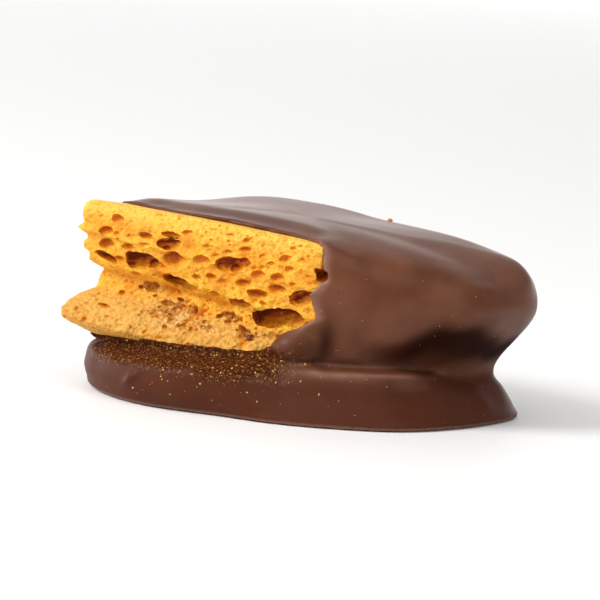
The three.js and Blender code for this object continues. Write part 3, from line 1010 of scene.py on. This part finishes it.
def milk_chocolate(tree):
    """Milk chocolate, melted and set in the air: even brown and satin.

    It is warmer in the foot and darker low on it, with painted shade in the tuck, by the drop and in the
    crease, a painted sheen at the thin edge beside the break and a painted highlight along the edge of the
    foot's ledge. The ledge is dark and rough with toffee dust, its darkness partly painted shade under the
    break. The dust's grain is drawn 0.35 mm wide, coarser than the real one, so that it shows.
    """
    place = add(tree, "ShaderNodeTexCoord", "Object")
    ledge_dust_and_shade, painted_shade, painted_sheen = (
        add(tree, "ShaderNodeAttribute", "Fac", {"attribute_name": name})
        for name in ("ledge_dust_and_shade", "painted_shade", "painted_sheen")
    )
    height = add(tree, "ShaderNodeSeparateXYZ", "Z", None, {"Vector": place})
    clouds, grain = (
        add(tree, "ShaderNodeTexNoise", "Fac", {"Scale": per_metre(size), "Detail": fine}, {"Vector": place})
        for size, fine in ((6, 2.0), (0.35, 3.0))
    )
    brown = add(
        tree, "ShaderNodeValToRGB", "Color", None, {"Fac": clouds}, [(0.3, "#5b301c"), (0.7, "#6f422b")],
    )
    in_foot = add(
        tree, "ShaderNodeMapRange", "Result",
        {"From Min": 6 * MM, "From Max": 8.5 * MM, "To Min": 0.7, "To Max": 0.0}, {"Value": height},
    )
    # Over the brown: a warmer foot, a painted sheen and highlight, and painted shade.
    for share, laid in ((in_foot, "#602b14"), (painted_sheen, "#9a7060"), (painted_shade, "#240b03")):
        brown = add(
            tree, "ShaderNodeMix", MIXED, {"data_type": "RGBA", ABOVE: linear(laid)},
            {FACTOR: share, BELOW: brown},
        )
    # Dark ledge with golden toffee dust: the dust is real, the darkness partly painted shade.
    dust_and_shade_colour = add(
        tree, "ShaderNodeValToRGB", "Color", None, {"Fac": grain},
        [(0.38, "#34190d"), (0.72, "#a06c34"), (0.56, "#54290f")],
    )
    colour = add(
        tree, "ShaderNodeMix", MIXED, {"data_type": "RGBA"}, {FACTOR: ledge_dust_and_shade, BELOW: brown, ABOVE: dust_and_shade_colour},
    )
    # A pale grainy line along the very bottom edge of the foot.
    low = add(
        tree, "ShaderNodeMapRange", "Result",
        {"From Min": 0.2 * MM, "From Max": 0.7 * MM, "To Min": 0.9, "To Max": 0.0}, {"Value": height},
    )
    pale_rim = add(tree, "ShaderNodeMath", "Value", {"operation": "MULTIPLY"}, {0: low, 1: grain})
    with_pale_rim = add(
        tree, "ShaderNodeMix", MIXED, {"data_type": "RGBA", ABOVE: linear("#b58f7c")},
        {FACTOR: pale_rim, BELOW: colour},
    )
    dull = add(tree, "ShaderNodeMath", "Value", {"operation": "MAXIMUM"}, {0: ledge_dust_and_shade, 1: painted_shade})
    rough = add(tree, "ShaderNodeMapRange", "Result", {"To Min": 0.37, "To Max": 0.62}, {"Value": dull})
    sheen = add(tree, "ShaderNodeMapRange", "Result", {"To Min": 0.26, "To Max": 0.04}, {"Value": dull})
    bumps = add(tree, "ShaderNodeMapRange", "Result", {"To Min": 0.1, "To Max": 0.9}, {"Value": ledge_dust_and_shade})
    fine = add(
        tree, "ShaderNodeBump", "Normal", {"Distance": 0.08 * MM}, {"Strength": bumps, "Height": grain},
    )
    return add(
        tree, "ShaderNodeBsdfPrincipled", "BSDF", {"IOR": 1.45},
        {"Base Color": with_pale_rim, "Roughness": rough, "Specular IOR Level": sheen, "Normal": fine},
    )


def aerated_toffee(tree):
    """Cinder toffee, foamed and snapped: gold and matt where it broke, amber and glassy in the bubbles.

    In the bubbles the amber is painted darker with depth as painted shade, and lighter on walls that face up
    and to the left as painted light.
    The real foam's cells go down to 0.1 mm. The finest are drawn 0.3 to 0.5 mm wide, so that they show.
    """
    place = add(tree, "ShaderNodeTexCoord", "Object")
    painted_pit_shade, torn, crust, crushed = (
        add(tree, "ShaderNodeAttribute", "Fac", {"attribute_name": name})
        for name in ("painted_pit_shade", "torn", "crust", "crushed")
    )
    patches, grain, bits, streaks = (
        add(tree, "ShaderNodeTexNoise", "Fac", {"Scale": per_metre(size), "Detail": fine}, {"Vector": place})
        for size, fine in ((2.6, 4.0), (0.3, 3.0), (0.55, 3.0), (0.7, 5.0))
    )
    foam, blisters = (
        add(tree, "ShaderNodeTexVoronoi", "Distance", {"Scale": per_metre(size)}, {"Vector": place})
        for size in (0.5, 1.2)
    )
    gold = add(
        tree, "ShaderNodeValToRGB", "Color", None, {"Fac": patches}, [(0.34, "#e8941a"), (0.64, "#f8bd38")],
    )
    gap = add(
        tree, "ShaderNodeMapRange", "Result", {"From Min": 0.5, "From Max": 0.66, "To Max": 0.75},
        {"Value": streaks},
    )
    broken = add(tree, "ShaderNodeMath", "Value", {"operation": "MULTIPLY"}, {0: gap, 1: torn})
    cell = add(
        tree, "ShaderNodeMapRange", "Result",
        {"From Min": 0.12, "From Max": 0.4, "To Min": 0.75, "To Max": 0.0}, {"Value": foam},
    )
    blister = add(
        tree, "ShaderNodeMapRange", "Result",
        {"From Min": 0.1, "From Max": 0.42, "To Min": 0.5, "To Max": 0.0}, {"Value": blisters},
    )
    spots = add(tree, "ShaderNodeMath", "Value", {"operation": "MAXIMUM"}, {0: cell, 1: blister})
    for share, laid in ((crust, "#f6c148"), (torn, "#dea84a"), (broken, "#c47e28"), (spots, "#e08a18")):
        gold = add(
            tree, "ShaderNodeMix", MIXED, {"data_type": "RGBA", ABOVE: linear(laid)},
            {FACTOR: share, BELOW: gold},
        )
    # Amber in the bubbles, painted darker the deeper they lie as painted shade, lighter on walls facing up
    # and left as painted light.
    amber_and_pit_shade = add(
        tree, "ShaderNodeValToRGB", "Color", None, {"Fac": painted_pit_shade},
        [(0.06, "#f49e22"), (1.0, "#6a2404"), (0.22, "#e28416"), (0.56, "#b4540a")],
    )
    inside = add(
        tree, "ShaderNodeMapRange", "Result", {"From Min": 0.04, "From Max": 0.18}, {"Value": painted_pit_shade},
    )
    colour = add(
        tree, "ShaderNodeMix", MIXED, {"data_type": "RGBA"}, {FACTOR: inside, BELOW: gold, ABOVE: amber_and_pit_shade},
    )
    flecks = add(
        tree, "ShaderNodeValToRGB", "Color", None, {"Fac": bits},
        [(0.38, "#8c540e"), (0.6, "#f2ce8a"), (0.5, "#c68e34")],
    )
    lit = add(tree, "ShaderNodeMapRange", "Result", {"To Min": 0.75, "To Max": 0.1}, {"Value": painted_pit_shade})
    crumbly = add(tree, "ShaderNodeMath", "Value", {"operation": "MULTIPLY"}, {0: crushed, 1: lit})
    crumbled = add(
        tree, "ShaderNodeMix", MIXED, {"data_type": "RGBA"}, {FACTOR: crumbly, BELOW: colour, ABOVE: flecks},
    )
    rough = add(tree, "ShaderNodeMapRange", "Result", {"To Min": 0.6, "To Max": 0.35}, {"Value": inside})
    shine = add(tree, "ShaderNodeMapRange", "Result", {"To Min": 0.35, "To Max": 0.18}, {"Value": inside})
    cells = add(
        tree, "ShaderNodeBump", "Normal", {"Strength": 0.9, "Distance": 0.18 * MM}, {"Height": foam},
    )
    fine = add(
        tree, "ShaderNodeBump", "Normal", {"Strength": 0.9, "Distance": 0.12 * MM},
        {"Height": grain, "Normal": cells},
    )
    return add(
        tree, "ShaderNodeBsdfPrincipled", "BSDF",
        {"IOR": 1.5, "Subsurface Weight": 0.12, "Subsurface Scale": 0.7 * MM,
         "Subsurface Radius": (1.0, 0.5, 0.14)},
        {"Base Color": crumbled, "Roughness": rough, "Specular IOR Level": shine, "Normal": fine},
    )


def toffee_crumb(tree):
    """Loose toffee crumbs: small broken bits that catch the light, paler than the slab."""
    place = add(tree, "ShaderNodeTexCoord", "Object")
    tone = add(tree, "ShaderNodeTexNoise", "Fac", {"Scale": per_metre(1.5)}, {"Vector": place})
    gold = add(
        tree, "ShaderNodeValToRGB", "Color", None, {"Fac": tone}, [(0.35, "#b8792a"), (0.65, "#e2b456")],
    )
    return add(
        tree, "ShaderNodeBsdfPrincipled", "BSDF", {"Roughness": 0.5, "IOR": 1.5}, {"Base Color": gold},
    )


def white_card(tree):
    """The plain pale ground: smooth white card, matt."""
    return add(
        tree, "ShaderNodeBsdfPrincipled", "BSDF", {"Base Color": linear("#fbfaf9"), "Roughness": 0.6},
    )


def finish_piece(made, finish, slot, *nodes):
    """Gives a piece its material and real size, and puts it on the frame."""
    made.data.materials.clear()
    made.data.materials.append(finish)
    made.data.transform(Matrix.Scale(MM, 4))
    made.data.shade_smooth()
    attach(made, "root")
    if nodes:
        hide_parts(*nodes)


# The stage: ground, lights and camera.

def ground():
    """A plain level ground, far wider than the lump."""
    bm = bmesh.new()
    bmesh.ops.create_grid(bm, x_segments=1, y_segments=1, size=3)
    floor = piece("ground", bm)
    floor.data.materials.append(material("white_card", white_card))


def softbox(name, place, target, size, power):
    """A white rectangular light, in metres and watts, that the camera doesn't see."""
    data = bpy.data.lights.new(name, "AREA")
    data.shape = "RECTANGLE"
    data.size, data.size_y = size
    data.energy = power
    lamp = bpy.data.objects.new(name, data)
    lamp.location = place
    lamp.rotation_euler = (Vector(target) - Vector(place)).to_track_quat("-Z", "Y").to_euler()
    lamp.visible_camera = False
    bpy.context.scene.collection.objects.link(lamp)


WORLD_LIGHT = 0.33


def lights():
    """Soft studio light: a small key from the left, and wide panels round a white room."""
    centre = (0, 0, 0.013)
    softbox("key", (-0.57, -0.28, 0.5), centre, (0.3, 0.3), 4.7)
    softbox("fill", (0.7, -0.8, 0.35), centre, (0.6, 0.6), 0.9)
    softbox("overhead", (0, -0.7, 1.25), centre, (2.4, 1.6), 11.0)
    softbox("far", (0, 1.7, 1.3), (0, 0.7, 0), (2.4, 1.6), 3.5)
    softbox("back", (-0.2, 1.2, 0.14), centre, (3.0, 0.26), 6.4)
    softbox("left", (-1.1, 0.35, 0.16), centre, (0.8, 0.3), 3.0)
    world = bpy.data.worlds.new("white_room")
    world.use_nodes = True
    backdrop = world.node_tree.nodes["Background"]
    backdrop.inputs["Color"].default_value = (1.0, 1.0, 1.0, 1.0)
    backdrop.inputs["Strength"].default_value = WORLD_LIGHT
    bpy.context.scene.world = world


CAMERA_RISE = math.radians(8)
CAMERA_ROLL = math.radians(5)
CAMERA_DISTANCE = 0.7
VIEW_WIDTH = 0.088
AIM = Vector((0, 0, 0.0145))


def camera():
    """The photograph's view: a little from above, and rolled because the lump leans there."""
    data = bpy.data.cameras.new("camera")
    data.lens = data.sensor_width * CAMERA_DISTANCE / VIEW_WIDTH
    data.clip_start = 0.01
    eye = bpy.data.objects.new("camera", data)
    back = Vector((0, -math.cos(CAMERA_RISE), math.sin(CAMERA_RISE)))
    eye.location = AIM + back * CAMERA_DISTANCE
    level = (-back).to_track_quat("-Z", "Y").to_matrix()
    eye.rotation_euler = (level @ Matrix.Rotation(CAMERA_ROLL, 3, "Z")).to_euler()
    bpy.context.scene.collection.objects.link(eye)
    bpy.context.scene.camera = eye


# The pieces. Edges sharper than this, in degrees, stay crisp in the smooth shading.
CRISP_FROM = 64

slab, bubble_specs = honeycomb(random.Random(11))
coat = chocolate_coat(random.Random(12), bubble_specs)
bits = crumbs(coat, random.Random(13))
specks = dust(coat, random.Random(14))
finish_piece(slab, material("aerated_toffee_broken", aerated_toffee), "toffee", "honeycomb_core")
slab.data.set_sharp_from_angle(angle=math.radians(CRISP_FROM))
finish_piece(coat, material("milk_chocolate_set", milk_chocolate), "chocolate", "chocolate_coat")
crumb = material("toffee_crumb", toffee_crumb)
finish_piece(bits, crumb, "toffee")
finish_piece(specks, crumb, "toffee")
ground()
lights()
camera()
bpy.context.scene.view_settings.view_transform = "Standard"

bpy.context.view_layer.update()
